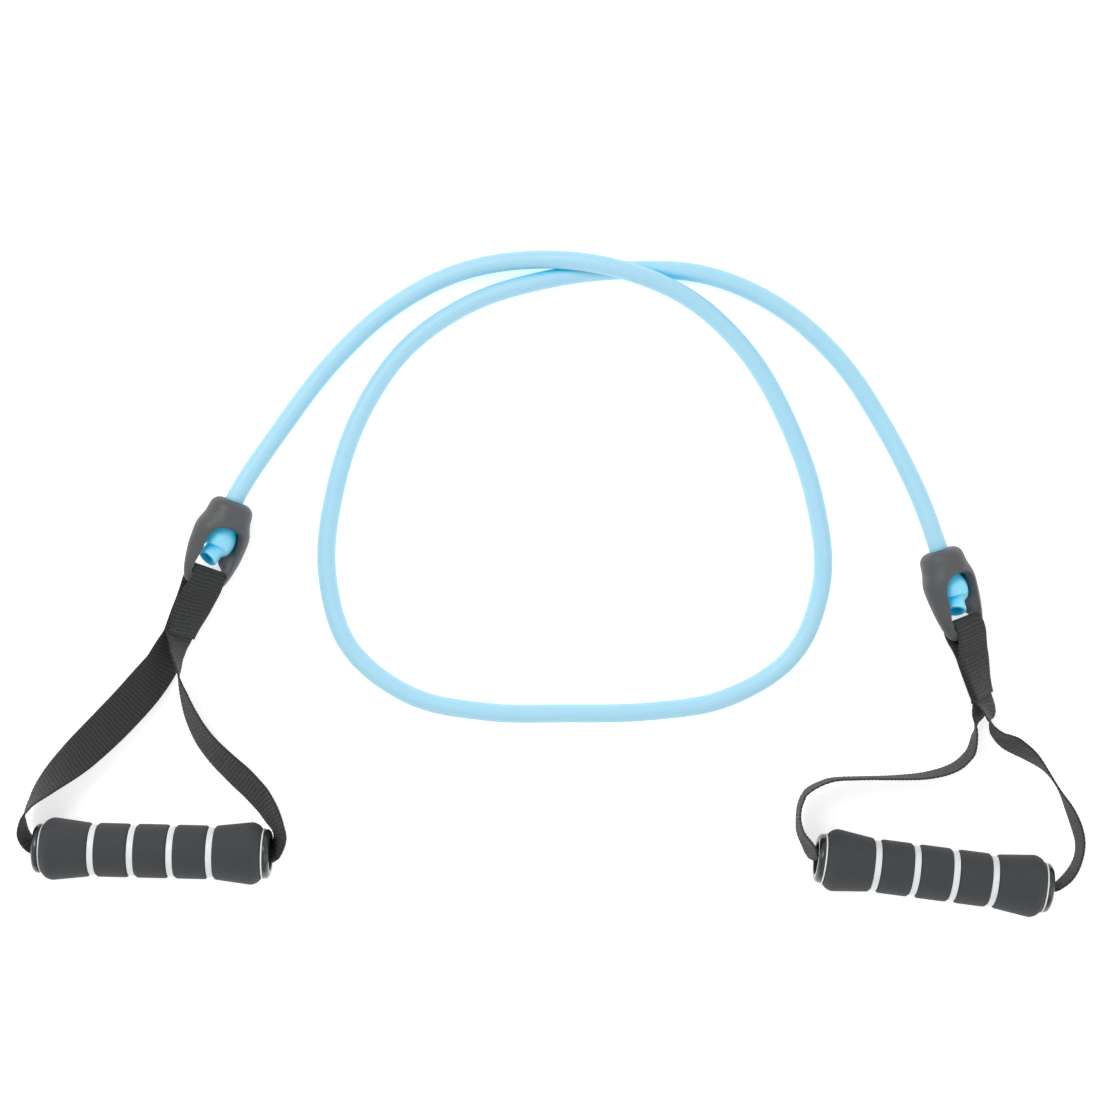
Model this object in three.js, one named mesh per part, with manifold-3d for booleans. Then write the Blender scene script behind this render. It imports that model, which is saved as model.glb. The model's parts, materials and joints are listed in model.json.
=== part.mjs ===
// Resistance band: one elastic tube with a webbing-and-foam handle on each end.
//
// The tube lies in a single loop on the floor and crosses over itself once. Each end is
// swollen over a plug and caught in a moulded socket with an open eye. Webbing passes
// round the bar at the foot of the eye, is sewn to itself, and its two legs carry a grip.
//
// Millimetres, +Z up. The origin is on the floor under the middle of the whole part.

import * as THREE from 'three';
import { mergeVertices } from 'three/addons/utils/BufferGeometryUtils.js';
import Module from 'manifold-3d';

const wasm = await Module();
wasm.setup();

// ---- driving dimensions -------------------------------------------------------------

const CLEARANCE = 0.3; // left between neighbouring pieces

const TUBE_RADIUS = 4.75;
const TUBE_BORE_RADIUS = 2.5;
const TUBE_SIDES = 10;
const TUBE_STEP = 12; // distance between rings of the long plain stretch

const SOCKET_LENGTH = 44;
const SOCKET_MOUTH_RADIUS = 10.6;
const SOCKET_HOLE_RADIUS = 5.2;
const SOCKET_CAVITY_RADIUS = 8.3;
const BAR_DEPTH = 39.6; // from the mouth down to the middle of the strap bar
const BAR_RADIUS = 4.4;
const BAR_HALF_LENGTH = 9.4;
const TAIL_DEPTH = 32; // from the mouth down to the cut end of the tube

const WEBBING_WIDTH = 20;
const WEBBING_THICKNESS = 1.2;
const LAYER_PITCH = WEBBING_THICKNESS + CLEARANCE;
const LOOP_RADIUS = 5.7; // middle of the webbing round the strap bar
const SEAM_START = 12.5; // below the bar, where the three layers come together

const FOAM_RADIUS = 13.75;
const FOAM_END_RADIUS = 15.9;
const FOAM_BORE_RADIUS = 11;
const END_SLEEVE_LENGTH = 24;
const MIDDLE_SLEEVE_LENGTH = 16.2;
const SPACER_LENGTH = 3.3;
const SPACER_RADIUS = 12.8;
const CORE_RADIUS = 10.7;
const CORE_BORE_RADIUS = 9.5;
const END_RING_LENGTH = 0.8;
const END_RING_RADIUS = 13;
const CAP_RADIUS = 12.65;
const CAP_BORE_RADIUS = 8.5;
const CAP_FLANGE = 3;
const CAP_SPIGOT = 6;
const GRIP_SIDES = 20;
const GRIP_HEIGHT = 16;

// ---- where the two ends lie ---------------------------------------------------------

// heading is the direction of the tube out of the socket, in degrees clockwise from +Y;
// lean is how far the left edge of the eye is turned up off the floor
const LEFT_SOCKET = { mouth: [-163.5, 39, 12.6], heading: 21.4, lean: 30 };
const RIGHT_SOCKET = { mouth: [201, 13.7, 12.6], heading: -18.05, lean: 30 };
const LEFT_GRIP = { middle: [-203.7, -137.6], turn: -1.4 };
const RIGHT_GRIP = { middle: [196.5, -148.9], turn: -7.5 };

// the middle of the tube from the left socket to the right one
const TUBE_COURSE = [
  [-138.6, 79.6, 8.6],
  [-113.5, 113, 5.5],
  [-83.4, 141.3, 4.85],
  [-46.8, 160.6, 5.4],
  [-6, 166.8, 8.4],
  [34.6, 161.4, 14.9],
  [73.6, 145.6, 8.4],
  [103.4, 117.4, 5],
  [123.6, 81.7, 4.85],
  [137, 42.5, 4.85],
  [140.9, 1.2, 4.85],
  [126.2, -37, 4.85],
  [91.2, -59.9, 4.85],
  [50.5, -66.8, 4.85],
  [9, -67.8, 4.85],
  [-32.4, -67, 4.85],
  [-72.4, -58.4, 4.85],
  [-104.4, -32.6, 4.85],
  [-115.6, 7.1, 4.85],
  [-111.2, 48.3, 4.85],
  [-97.8, 87.5, 4.85],
  [-74.4, 121.4, 4.85],
  [-41, 144.6, 4.85],
  [-1, 157, 4.85],
  [40.6, 161.8, 4.85],
  [81.6, 159, 4.85],
  [119.6, 142.1, 4.85],
  [150.2, 114.6, 4.9],
  [173, 80.1, 6.4],
  [190.2, 44.8, 10.6],
];

// Each leg of the webbing: x, y, z, then how far its left edge (seen walking from the
// socket to the grip) is turned up off the floor, in degrees.
// face is which edge of the webbing is uppermost inside the grip.
const LEFT_STRAP = {
  face: -1,
  seam: 32,
  seamTwist: 6,
  outward: [
    [-199.8, -41.5, 8, 36],
    [-211, -56, 8.2, 12],
    [-225, -71.3, 9, 2],
    [-241.6, -87.6, 10.5, -18],
    [-257.6, -102.4, 12.5, -50],
    [-266.6, -113, 14.5, -74],
    [-270.6, -121.8, 16, -83],
    [-270.2, -129, 16, -87],
  ],
  homeward: [
    [-138.6, -130, 16, 110],
    [-142.6, -119.9, 15.2, 124],
    [-149.4, -109.8, 14.2, 133],
    [-158.8, -100.2, 13.6, 136],
    [-169.2, -90.4, 13.6, 132],
    [-178, -80, 14, 126],
    [-184.4, -67.9, 14.6, 118],
    [-188.4, -55.8, 15.6, 108],
    [-190.8, -45.6, 16.4, 96],
    [-191.6, -37.6, 15.4, 74],
  ],
};
const RIGHT_STRAP = {
  face: 1,
  seam: 36,
  seamTwist: 6,
  outward: [
    [223.5, -63, 10.7, 40],
    [220.2, -70, 10.9, 60],
    [218.9, -77.8, 12.2, 82],
    [217.1, -86.2, 12, 87],
    [209.4, -94.4, 12, 88],
    [195.6, -99, 12, 88],
    [177.6, -100.4, 12.2, 88],
    [159.4, -100.6, 12.8, 88],
    [142, -101.8, 14, 88],
    [131.4, -107.8, 15.4, 88],
    [127.6, -117.8, 16, 89],
    [129, -128.8, 16, 90],
    [132.6, -135, 16, 90],
  ],
  homeward: [
    [265.6, -151.2, 16, 90],
    [270.8, -142.2, 16, 88],
    [271.8, -131.8, 16, 88],
    [267.8, -118.4, 15, 89],
    [262, -106.8, 14, 91],
    [255.4, -97.2, 13.4, 94],
    [246, -88.4, 13, 98],
    [236.8, -82.4, 13, 98],
    [229.4, -76.6, 13.8, 86],
    [226.2, -70, 14.4, 66],
    [225.7, -63, 13.2, 40],
  ],
};

// ---- looks --------------------------------------------------------------------------

function material(color, roughness) {
  return new THREE.MeshStandardMaterial({ color, roughness, metalness: 0 });
}

const TUBE_LOOK = material(0xaadcf1, 0.45);
const PLUG_LOOK = material(0xe9ecee, 0.5);
const SOCKET_LOOK = material(0x646666, 0.55);
const WEBBING_LOOK = material(0x363737, 0.9);
const FOAM_LOOK = material(0x444648, 0.95);
const CORE_LOOK = material(0xe2e6e7, 0.5);
const CAP_LOOK = material(0x1d1e20, 0.25);

// ---- small helpers ------------------------------------------------------------------

function vector(numbers) {
  return new THREE.Vector3(...numbers);
}

function bare(geometry) {
  geometry.deleteAttribute('normal');
  geometry.deleteAttribute('uv');
  return mergeVertices(geometry, 1e-3);
}

// moves every vertex of a geometry to where place(x, y, z) puts it
function reshape(geometry, place) {
  const position = geometry.attributes.position;
  for (let i = 0; i < position.count; i += 1) {
    const moved = place(position.getX(i), position.getY(i), position.getZ(i));
    position.setXYZ(i, moved.x, moved.y, moved.z);
  }
  return bare(geometry);
}

function toManifold(geometry) {
  const merged = bare(geometry);
  return new wasm.Manifold(new wasm.Mesh({
    numProp: 3,
    vertProperties: Float32Array.from(merged.attributes.position.array),
    triVerts: Uint32Array.from(merged.index.array),
  }));
}

function fromManifold(manifold) {
  const mesh = manifold.getMesh();
  const geometry = new THREE.BufferGeometry();
  geometry.setAttribute('position', new THREE.BufferAttribute(mesh.vertProperties, 3));
  geometry.setIndex(new THREE.BufferAttribute(mesh.triVerts, 1));
  return geometry;
}

// a ring-shaped piece: radius and height pairs, up the outside and down the bore
function turned(profile, sides = GRIP_SIDES) {
  const points = profile.map(([radius, height]) => new THREE.Vector2(radius, height));
  points.push(points[0].clone());
  return bare(new THREE.LatheGeometry(points, sides));
}

// ---- placing an end of the band -----------------------------------------------------

// x runs along the strap bar, y out of the eye's open face, z up the socket to its mouth
function socketFrame({ mouth, heading, lean }) {
  const turn = THREE.MathUtils.degToRad(heading);
  const tilt = THREE.MathUtils.degToRad(lean);
  const z = new THREE.Vector3(Math.sin(turn), Math.cos(turn), 0);
  const right = new THREE.Vector3(Math.cos(turn), -Math.sin(turn), 0);
  const y = right.multiplyScalar(Math.sin(tilt)).add(new THREE.Vector3(0, 0, Math.cos(tilt)));
  const x = y.clone().cross(z);
  return new THREE.Matrix4().makeBasis(x, y, z).setPosition(vector(mouth));
}

const leftFrame = socketFrame(LEFT_SOCKET);
const rightFrame = socketFrame(RIGHT_SOCKET);

// ---- the elastic tube ---------------------------------------------------------------

// distance from the cut end of the tube, and the outer and bore radius there
const TUBE_END = [
  [0, 4.95, 2.7],
  [6.4, 4.95, 2.9],
  [7.6, 6.3, 4.9],
  [9.6, 7.3, 5.8],
  [13, 7.5, 6],
  [18, 7.2, 5.6],
  [22.5, 5.9, 3.9],
  [26, TUBE_RADIUS, TUBE_BORE_RADIUS],
  [36, TUBE_RADIUS, TUBE_BORE_RADIUS],
];

function tubeCurve() {
  const down = (frame, depth) => new THREE.Vector3(0, 0, -depth).applyMatrix4(frame);
  const depths = [TAIL_DEPTH, TAIL_DEPTH / 2, 0, -7];
  return new THREE.CatmullRomCurve3([
    ...depths.map((depth) => down(leftFrame, depth)),
    ...TUBE_COURSE.map(vector),
    ...depths.reverse().map((depth) => down(rightFrame, depth)),
  ], false, 'centripetal');
}

// the tube's rings from one cut end to the other: distance, outer radius, bore radius
function tubeRings(length) {
  const start = TUBE_END[TUBE_END.length - 1][0];
  const plain = length - 2 * start;
  const count = Math.round(plain / TUBE_STEP);
  const rings = TUBE_END.map((row) => [...row]);
  for (let i = 1; i < count; i += 1) {
    rings.push([start + (plain * i) / count, TUBE_RADIUS, TUBE_BORE_RADIUS]);
  }
  for (const [distance, outer, bore] of [...TUBE_END].reverse()) {
    rings.push([length - distance, outer, bore]);
  }
  return rings;
}

// a frame that doesn't twist about the curve at each distance along it
function framesAlong(curve, distances) {
  const length = curve.getLength();
  let side = new THREE.Vector3(0, 0, 1);
  return distances.map((distance) => {
    const share = THREE.MathUtils.clamp(distance / length, 0, 1);
    const forward = curve.getTangentAt(share);
    side = side.clone().projectOnPlane(forward).normalize();
    const across = forward.clone().cross(side);
    return { point: curve.getPointAt(share), side, across };
  });
}

function resistanceTube() {
  const curve = tubeCurve();
  curve.arcLengthDivisions = 2000;
  const rings = tubeRings(curve.getLength());
  const frames = framesAlong(curve, rings.map((ring) => ring[0]));
  const last = rings.length - 1;
  const ends = TUBE_END.length;
  const outside = rings.map((ring, i) => [ring[1], i]);
  const bore = rings
    .map((ring, i) => [ring[2], i])
    .filter(([, i]) => i < ends || i > last - ends || i % 2 === 0);
  const lathe = new THREE.LatheGeometry(
    [...outside, ...bore.reverse(), outside[0]].map(([r, i]) => new THREE.Vector2(r, i)),
    TUBE_SIDES,
  );
  return reshape(lathe, (x, y, z) => {
    const frame = frames[Math.round(y)];
    return frame.point.clone().addScaledVector(frame.across, x).addScaledVector(frame.side, z);
  });
}

// a mushroom-shaped plug, pushed into the end of the tube to swell it
function endPlug() {
  const profile = [
    [0, -25], [1.9, -25], [4, -23.4], [5.2, -20.6], [5.3, -18], [4.6, -13.6], [2, -11], [0, -11],
  ];
  const points = profile.map(([radius, height]) => new THREE.Vector2(radius, height));
  const geometry = new THREE.LatheGeometry(points, TUBE_SIDES);
  geometry.rotateX(Math.PI / 2);
  return bare(geometry);
}

// ---- the moulded socket -------------------------------------------------------------

// height below the mouth, half width along the bar, half depth through the eye
const SOCKET_OUTLINE = [
  [0, 9.7, 9.7],
  [-1, SOCKET_MOUTH_RADIUS, SOCKET_MOUTH_RADIUS],
  [-5, 12, 11.1],
  [-10, 13.9, 11.2],
  [-15, 15, 10.8],
  [-20, 15, 9.9],
  [-25, 14.6, 8.6],
  [-30, 13.9, 7],
  [-34, 13, 5.6],
  [-38, 11.8, 4.5],
  [-41, 10.4, 4],
  [-43, 8.9, 3.2],
  [-SOCKET_LENGTH, 7, 2],
];

function socketShell() {
  const rows = SOCKET_OUTLINE.length - 1;
  const geometry = new THREE.CylinderGeometry(1, 1, rows, 28, rows);
  geometry.rotateX(Math.PI / 2);
  return reshape(geometry, (x, y, z) => {
    const [height, width, depth] = SOCKET_OUTLINE[Math.round(rows / 2 - z)];
    return new THREE.Vector3(x * width, y * depth, height);
  });
}

// the opening the tube's swollen end lies in, drawn face on
function eyeCutter() {
  const eye = new THREE.Shape();
  eye.moveTo(0, -11.4);
  eye.bezierCurveTo(5.5, -11.4, 10.3, -15, 10.4, -21);
  eye.bezierCurveTo(10.5, -26, 10, -30, 9.7, -33);
  eye.quadraticCurveTo(9.4, -35.4, 7.2, -35.5);
  eye.lineTo(-7.2, -35.5);
  eye.quadraticCurveTo(-9.4, -35.4, -9.7, -33);
  eye.bezierCurveTo(-10, -30, -10.5, -26, -10.4, -21);
  eye.bezierCurveTo(-10.3, -15, -5.5, -11.4, 0, -11.4);
  const geometry = new THREE.ExtrudeGeometry(eye, {
    depth: 30,
    bevelEnabled: false,
    curveSegments: 5,
  });
  geometry.translate(0, 0, -15);
  geometry.rotateX(Math.PI / 2);
  return geometry;
}

function boreCutter() {
  const points = [
    [0, -30], [SOCKET_CAVITY_RADIUS, -30], [SOCKET_CAVITY_RADIUS, -12],
    [SOCKET_HOLE_RADIUS, -5], [SOCKET_HOLE_RADIUS, 2], [0, 2],
  ].map(([radius, height]) => new THREE.Vector2(radius, height));
  const geometry = new THREE.LatheGeometry(points, 20);
  geometry.rotateX(Math.PI / 2);
  return geometry;
}

// leaves a round bar at the foot of the eye, with room for the webbing to turn about it
function barCutter() {
  const geometry = turned([
    [BAR_RADIUS, -BAR_HALF_LENGTH],
    [BAR_RADIUS + 4, -BAR_HALF_LENGTH],
    [BAR_RADIUS + 4, BAR_HALF_LENGTH],
    [BAR_RADIUS, BAR_HALF_LENGTH],
  ]);
  geometry.rotateZ(Math.PI / 2);
  geometry.translate(0, 0, -BAR_DEPTH);
  return geometry;
}

function socket() {
  return fromManifold([eyeCutter(), boreCutter(), barCutter()].reduce(
    (solid, cutter) => solid.subtract(toManifold(cutter)),
    toManifold(socketShell()),
  ));
}

// ---- the webbing --------------------------------------------------------------------

// one station of the webbing: its middle, the direction of its width, and its width
function station(point, across, width = WEBBING_WIDTH) {
  return { point, across: across.clone().normalize(), width };
}

// the sewn part, told in the socket's frame: down from the bar in one of three layers
function seamStation(frame, strap, depth, layer, width) {
  const share = THREE.MathUtils.smoothstep(depth, SEAM_START, strap.seam);
  const twist = THREE.MathUtils.degToRad(strap.seamTwist * share);
  const across = new THREE.Vector3(Math.cos(twist), Math.sin(twist), 0);
  const out = new THREE.Vector3(-Math.sin(twist), Math.cos(twist), 0);
  const open = 1 - THREE.MathUtils.smoothstep(depth, 0, SEAM_START);
  const offset = layer * (LAYER_PITCH + open * (LOOP_RADIUS - LAYER_PITCH));
  const point = out.multiplyScalar(offset).setZ(-BAR_DEPTH - depth);
  return station(point.applyMatrix4(frame), across.transformDirection(frame), width);
}

function loopStations(frame, width) {
  const across = new THREE.Vector3(1, 0, 0).transformDirection(frame);
  const stations = [];
  for (let angle = 0; angle <= 180; angle += 22.5) {
    const turn = THREE.MathUtils.degToRad(angle);
    const point = new THREE.Vector3(
      0,
      LOOP_RADIUS * Math.cos(turn),
      LOOP_RADIUS * Math.sin(turn) - BAR_DEPTH,
    );
    stations.push(station(point.applyMatrix4(frame), across, width));
  }
  return stations;
}

// a leg given by rows of x, y, z and lean; direction is -1 for rows told back to front,
// and face is -1 where the webbing has come round with its other edge to the left
function legStations(rows, direction, face) {
  const points = rows.map((row) => vector(row.slice(0, 3)));
  return rows.map((row, i) => {
    const before = points[Math.max(i - 1, 0)];
    const after = points[Math.min(i + 1, rows.length - 1)];
    const along = after.clone().sub(before).multiplyScalar(direction).setZ(0).normalize();
    const left = new THREE.Vector3(along.y, -along.x, 0);
    const lean = THREE.MathUtils.degToRad(row[3]);
    const across = left.multiplyScalar(Math.cos(lean)).setZ(Math.sin(lean));
    return station(points[i], across.multiplyScalar(face));
  });
}

function gripStations(grip, face, width) {
  const up = new THREE.Vector3(0, 0, face);
  const turn = THREE.MathUtils.degToRad(grip.turn);
  return [-61.5, -55, -30, 0, 30, 55, 61.5].map((distance) => station(new THREE.Vector3(
    grip.middle[0] + distance * Math.cos(turn),
    grip.middle[1] + distance * Math.sin(turn),
    GRIP_HEIGHT,
  ), up, width));
}

function strapStations(frame, strap, grip) {
  const loopWidth = 18;
  const gripWidth = 16;
  const sewn = [0, 1, 2, 3, 4, 5].map((k) => SEAM_START + ((strap.seam - SEAM_START) * k) / 5);
  const rear = [4, 8, ...sewn];
  const middle = [...sewn].reverse();
  const front = [...middle, 8, 4];
  const widthAt = (depth) => (depth < 10 ? loopWidth + depth / 5 : WEBBING_WIDTH);
  return [
    ...front.map((depth) => seamStation(frame, strap, depth, 1, widthAt(depth))),
    ...loopStations(frame, loopWidth),
    ...rear.map((depth) => seamStation(frame, strap, depth, -1, widthAt(depth))),
    ...legStations(strap.outward, 1, 1),
    ...gripStations(grip, strap.face, gripWidth),
    ...legStations(strap.homeward, -1, strap.face),
    ...middle.map((depth) => {
      const { point, across } = seamStation(frame, strap, depth, 0);
      return station(point, across.multiplyScalar(strap.face));
    }),
  ];
}

// webbing through its stations, cut into lengths of about `step`
function ribbon(stations, step) {
  const curve = new THREE.CatmullRomCurve3(stations.map((s) => s.point), false, 'centripetal');
  const last = stations.length - 1;
  const cuts = [0];
  for (let i = 0; i < last; i += 1) {
    const gap = stations[i].point.distanceTo(stations[i + 1].point);
    const pieces = Math.max(1, Math.round(gap / step));
    for (let k = 1; k <= pieces; k += 1) {
      cuts.push(i + k / pieces);
    }
  }
  const frames = cuts.map((cut) => {
    const i = Math.min(Math.floor(cut), last - 1);
    const [from, to] = [stations[i], stations[i + 1]];
    const forward = curve.getTangent(cut / last);
    const across = from.across.clone().lerp(to.across, cut - i).projectOnPlane(forward).normalize();
    const width = THREE.MathUtils.lerp(from.width, to.width, cut - i);
    return { point: curve.getPoint(cut / last), across, width, out: forward.clone().cross(across) };
  });
  const count = frames.length - 1;
  const box = new THREE.BoxGeometry(1, WEBBING_THICKNESS, count, 1, 1, count);
  return reshape(box, (x, y, z) => {
    const frame = frames[Math.round(z + count / 2)];
    return frame.point.clone()
      .addScaledVector(frame.across, x * frame.width)
      .addScaledVector(frame.out, y);
  });
}

// ---- the grip -----------------------------------------------------------------------

function middleSleeve(length) {
  const round = 1.4;
  return turned([
    [FOAM_BORE_RADIUS, 0],
    [FOAM_RADIUS - round, 0],
    [FOAM_RADIUS, round],
    [FOAM_RADIUS, length - round],
    [FOAM_RADIUS - round, length],
    [FOAM_BORE_RADIUS, length],
  ]);
}

// the outer sleeves flare towards the end of the grip, then round over
function endSleeve(length) {
  return turned([
    [FOAM_BORE_RADIUS, 0],
    [FOAM_RADIUS - 1.2, 0],
    [FOAM_RADIUS, 1.4],
    [FOAM_END_RADIUS, length - 6],
    [FOAM_END_RADIUS - 0.4, length - 3.4],
    [FOAM_END_RADIUS - 1.7, length - 1.2],
    [FOAM_END_RADIUS - 3.3, length],
    [FOAM_BORE_RADIUS, length],
  ]);
}

function plainRing(bore, radius, length) {
  return turned([[bore, 0], [radius, 0], [radius, length], [bore, length]]);
}

// a bush whose domed flange closes the grip and whose spigot sits in the core tube
function endCap() {
  return turned([
    [CAP_BORE_RADIUS, -CAP_SPIGOT],
    [CORE_BORE_RADIUS - CLEARANCE, -CAP_SPIGOT],
    [CORE_BORE_RADIUS - CLEARANCE, 0],
    [CAP_RADIUS, 0],
    [CAP_RADIUS, 1],
    [CAP_RADIUS - 0.7, 2.3],
    [CAP_RADIUS - 1.9, CAP_FLANGE],
    [CAP_BORE_RADIUS + 0.6, CAP_FLANGE],
    [CAP_BORE_RADIUS, CAP_FLANGE - 0.6],
  ]);
}

// the grip's pieces from its middle outwards: name, length, maker
function gripPieces() {
  const sleeve = MIDDLE_SLEEVE_LENGTH;
  const flared = END_SLEEVE_LENGTH;
  const spacer = () => plainRing(FOAM_BORE_RADIUS, SPACER_RADIUS, SPACER_LENGTH);
  const endRing = () => plainRing(FOAM_BORE_RADIUS, END_RING_RADIUS, END_RING_LENGTH);
  return [
    ['inner_spacer_ring', SPACER_LENGTH, spacer, CORE_LOOK],
    ['inner_foam_sleeve', sleeve, () => middleSleeve(sleeve), FOAM_LOOK],
    ['outer_spacer_ring', SPACER_LENGTH, spacer, CORE_LOOK],
    ['flared_foam_sleeve', flared, () => endSleeve(flared), FOAM_LOOK],
    ['end_ring', END_RING_LENGTH, endRing, CORE_LOOK],
    ['end_cap', CAP_FLANGE, endCap, CAP_LOOK],
  ];
}

function named(name, geometry, look) {
  const mesh = new THREE.Mesh(geometry, look);
  mesh.name = name;
  return mesh;
}

// the grip lies along its own y axis; its two halves are the same, turned end for end
function grip(prefix, { middle, turn }) {
  const assembly = new THREE.Group();
  assembly.position.set(middle[0], middle[1], GRIP_HEIGHT);
  assembly.rotation.z = THREE.MathUtils.degToRad(turn - 90);
  const foam = middleSleeve(MIDDLE_SLEEVE_LENGTH);
  foam.translate(0, -MIDDLE_SLEEVE_LENGTH / 2, 0);
  assembly.add(named(`${prefix}_middle_foam_sleeve`, foam, FOAM_LOOK));
  let reach = 0;
  for (const [end, flip] of [['a', Math.PI], ['b', 0]]) {
    const half = new THREE.Group();
    half.rotation.z = flip;
    reach = MIDDLE_SLEEVE_LENGTH / 2;
    for (const [name, length, make, look] of gripPieces()) {
      const piece = named(`${prefix}_${name}_${end}`, make(), look);
      piece.position.y = reach + CLEARANCE;
      reach += CLEARANCE + length;
      half.add(piece);
    }
    assembly.add(half);
  }
  const coreHalf = reach - CAP_FLANGE - CLEARANCE;
  const core = plainRing(CORE_BORE_RADIUS, CORE_RADIUS, 2 * coreHalf);
  core.translate(0, -coreHalf, 0);
  assembly.add(named(`${prefix}_grip_core`, core, CORE_LOOK));
  return assembly;
}

// ---- the whole band -----------------------------------------------------------------

function bandEnd(prefix, frame, strap, gripPlace) {
  const end = new THREE.Group();
  const held = new THREE.Group();
  held.applyMatrix4(frame);
  held.add(named(`${prefix}_end_plug`, endPlug(), PLUG_LOOK));
  held.add(named(`${prefix}_socket`, socket(), SOCKET_LOOK));
  end.add(held);
  const webbing = ribbon(strapStations(frame, strap, gripPlace), 6);
  end.add(named(`${prefix}_handle_strap`, webbing, WEBBING_LOOK));
  end.add(grip(prefix, gripPlace));
  return end;
}

const band = new THREE.Group();
band.add(named('resistance_tube', resistanceTube(), TUBE_LOOK));
band.add(bandEnd('left', leftFrame, LEFT_STRAP, LEFT_GRIP));
band.add(bandEnd('right', rightFrame, RIGHT_STRAP, RIGHT_GRIP));

export default band;
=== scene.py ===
# Resistance band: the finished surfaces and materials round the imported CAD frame.
#
# Shapes are described in millimetres in the frame of the piece they belong to and are
# placed by the frame's joints and nodes; every mesh ends up in metres in the row frame.
import json
import math
import random

import bmesh
import bpy
import numpy as np
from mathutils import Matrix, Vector


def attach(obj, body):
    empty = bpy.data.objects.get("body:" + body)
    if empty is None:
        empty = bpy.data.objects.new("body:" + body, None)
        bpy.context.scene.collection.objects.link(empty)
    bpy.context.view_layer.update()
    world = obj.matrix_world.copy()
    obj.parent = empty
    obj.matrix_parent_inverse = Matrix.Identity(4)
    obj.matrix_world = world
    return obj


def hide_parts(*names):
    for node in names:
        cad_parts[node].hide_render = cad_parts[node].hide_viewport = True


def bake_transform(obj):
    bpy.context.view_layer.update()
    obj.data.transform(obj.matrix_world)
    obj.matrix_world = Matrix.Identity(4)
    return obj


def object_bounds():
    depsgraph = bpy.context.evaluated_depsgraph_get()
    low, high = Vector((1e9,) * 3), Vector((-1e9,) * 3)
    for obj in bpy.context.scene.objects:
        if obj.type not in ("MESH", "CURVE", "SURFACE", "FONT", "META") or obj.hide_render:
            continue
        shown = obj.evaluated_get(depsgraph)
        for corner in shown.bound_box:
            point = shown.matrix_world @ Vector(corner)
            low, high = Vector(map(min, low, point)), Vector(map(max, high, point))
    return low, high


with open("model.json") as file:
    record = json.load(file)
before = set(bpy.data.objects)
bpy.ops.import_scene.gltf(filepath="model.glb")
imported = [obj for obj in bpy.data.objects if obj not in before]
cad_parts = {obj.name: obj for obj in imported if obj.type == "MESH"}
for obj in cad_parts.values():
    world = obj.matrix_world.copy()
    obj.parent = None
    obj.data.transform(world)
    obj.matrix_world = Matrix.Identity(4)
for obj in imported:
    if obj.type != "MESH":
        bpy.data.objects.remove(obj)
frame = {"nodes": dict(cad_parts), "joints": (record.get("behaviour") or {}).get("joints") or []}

cad_low, cad_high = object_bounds()

MM = 0.001
SIDES = ("left", "right")

# ---- driving dimensions, mm ---------------------------------------------------------

TUBE_SIDES = 40
TUBE_STEP = 2.0
TUBE_RADIUS = 4.75
BORE_RADIUS = 2.5
# from the cut end: distance, outer radius, bore radius
TUBE_END = [
    (0.0, 5.25, 3.5),
    (0.3, 5.55, 3.3),
    (1.0, 5.65, 3.15),
    (3.0, 5.35, 3.0),
    (5.0, 5.05, 2.95),
    (6.0, 5.15, 3.1),
    (6.6, 5.9, 4.0),
    (7.2, 6.8, 5.1),
    (8.5, 7.7, 6.1),
    (10.7, 8.2, 6.6),
    (13.0, 8.25, 6.65),
    (15.2, 7.85, 6.3),
    (17.3, 6.9, 5.2),
    (19.3, 5.8, 3.9),
    (21.2, 5.0, 2.8),
    (23.0, TUBE_RADIUS, BORE_RADIUS),
]
# the tail below the swelling leans towards a leg of the eye and out of its open face
TAIL_LENGTH = 11.0
TAIL_REACH = 9.2
TAIL_TURN = 3.6
TAIL_LEAN = (0.60, 0.34)

# height below the mouth, half width along the bar, half depth through the eye
SOCKET_OUTLINE = [
    (3.3, 5.9, 5.9),
    (3.1, 7.3, 7.3),
    (2.45, 8.9, 8.9),
    (1.4, 10.15, 10.15),
    (-0.2, 11.15, 11.15),
    (-2.4, 11.6, 11.5),
    (-5.0, 12.0, 11.6),
    (-7.4, 12.7, 11.7),
    (-9.8, 13.7, 11.8),
    (-12.2, 14.6, 11.8),
    (-15.5, 15.1, 11.4),
    (-20.0, 15.1, 10.4),
    (-25.0, 14.9, 9.3),
    (-30.0, 14.2, 8.3),
    (-34.0, 13.4, 7.5),
    (-38.0, 12.3, 6.7),
    (-41.0, 11.0, 5.8),
    (-43.2, 9.2, 4.4),
    (-44.2, 6.8, 2.6),
]
# the eye from its waist outwards: depth, growth along the bar, growth towards the mouth
EYE_FLARE = [
    (0.0, 1.0, 1.0),
    (3.0, 1.01, 1.0),
    (5.0, 1.04, 1.01),
    (7.0, 1.10, 1.03),
    (9.0, 1.19, 1.06),
    (11.0, 1.32, 1.11),
    (15.0, 1.60, 1.25),
]
SOCKET_HOLE_RADIUS = 5.2
SOCKET_CAVITY_RADIUS = 8.9
EYE_SLANT = 0.5          # sideways run of the eye's walls per mm below its middle
BAR_RADIUS = 4.3
BAR_HALF_LENGTH = 9.4
SOCKET_VOXEL = 0.42

WEBBING_WIDTH = 20.0
WEBBING_THICKNESS = 1.2
YARN_PITCH = 0.75
RIB_PITCH = 2.0
RIB_HEIGHT = 0.24
RIB_ROWS = 5
SEWN_TWIST = 17.0        # degrees the sewn part turns about its edge on its way to the cut end
SEWN_EDGE = 9.0          # from the strap's middle to the edge it turns about
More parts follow.
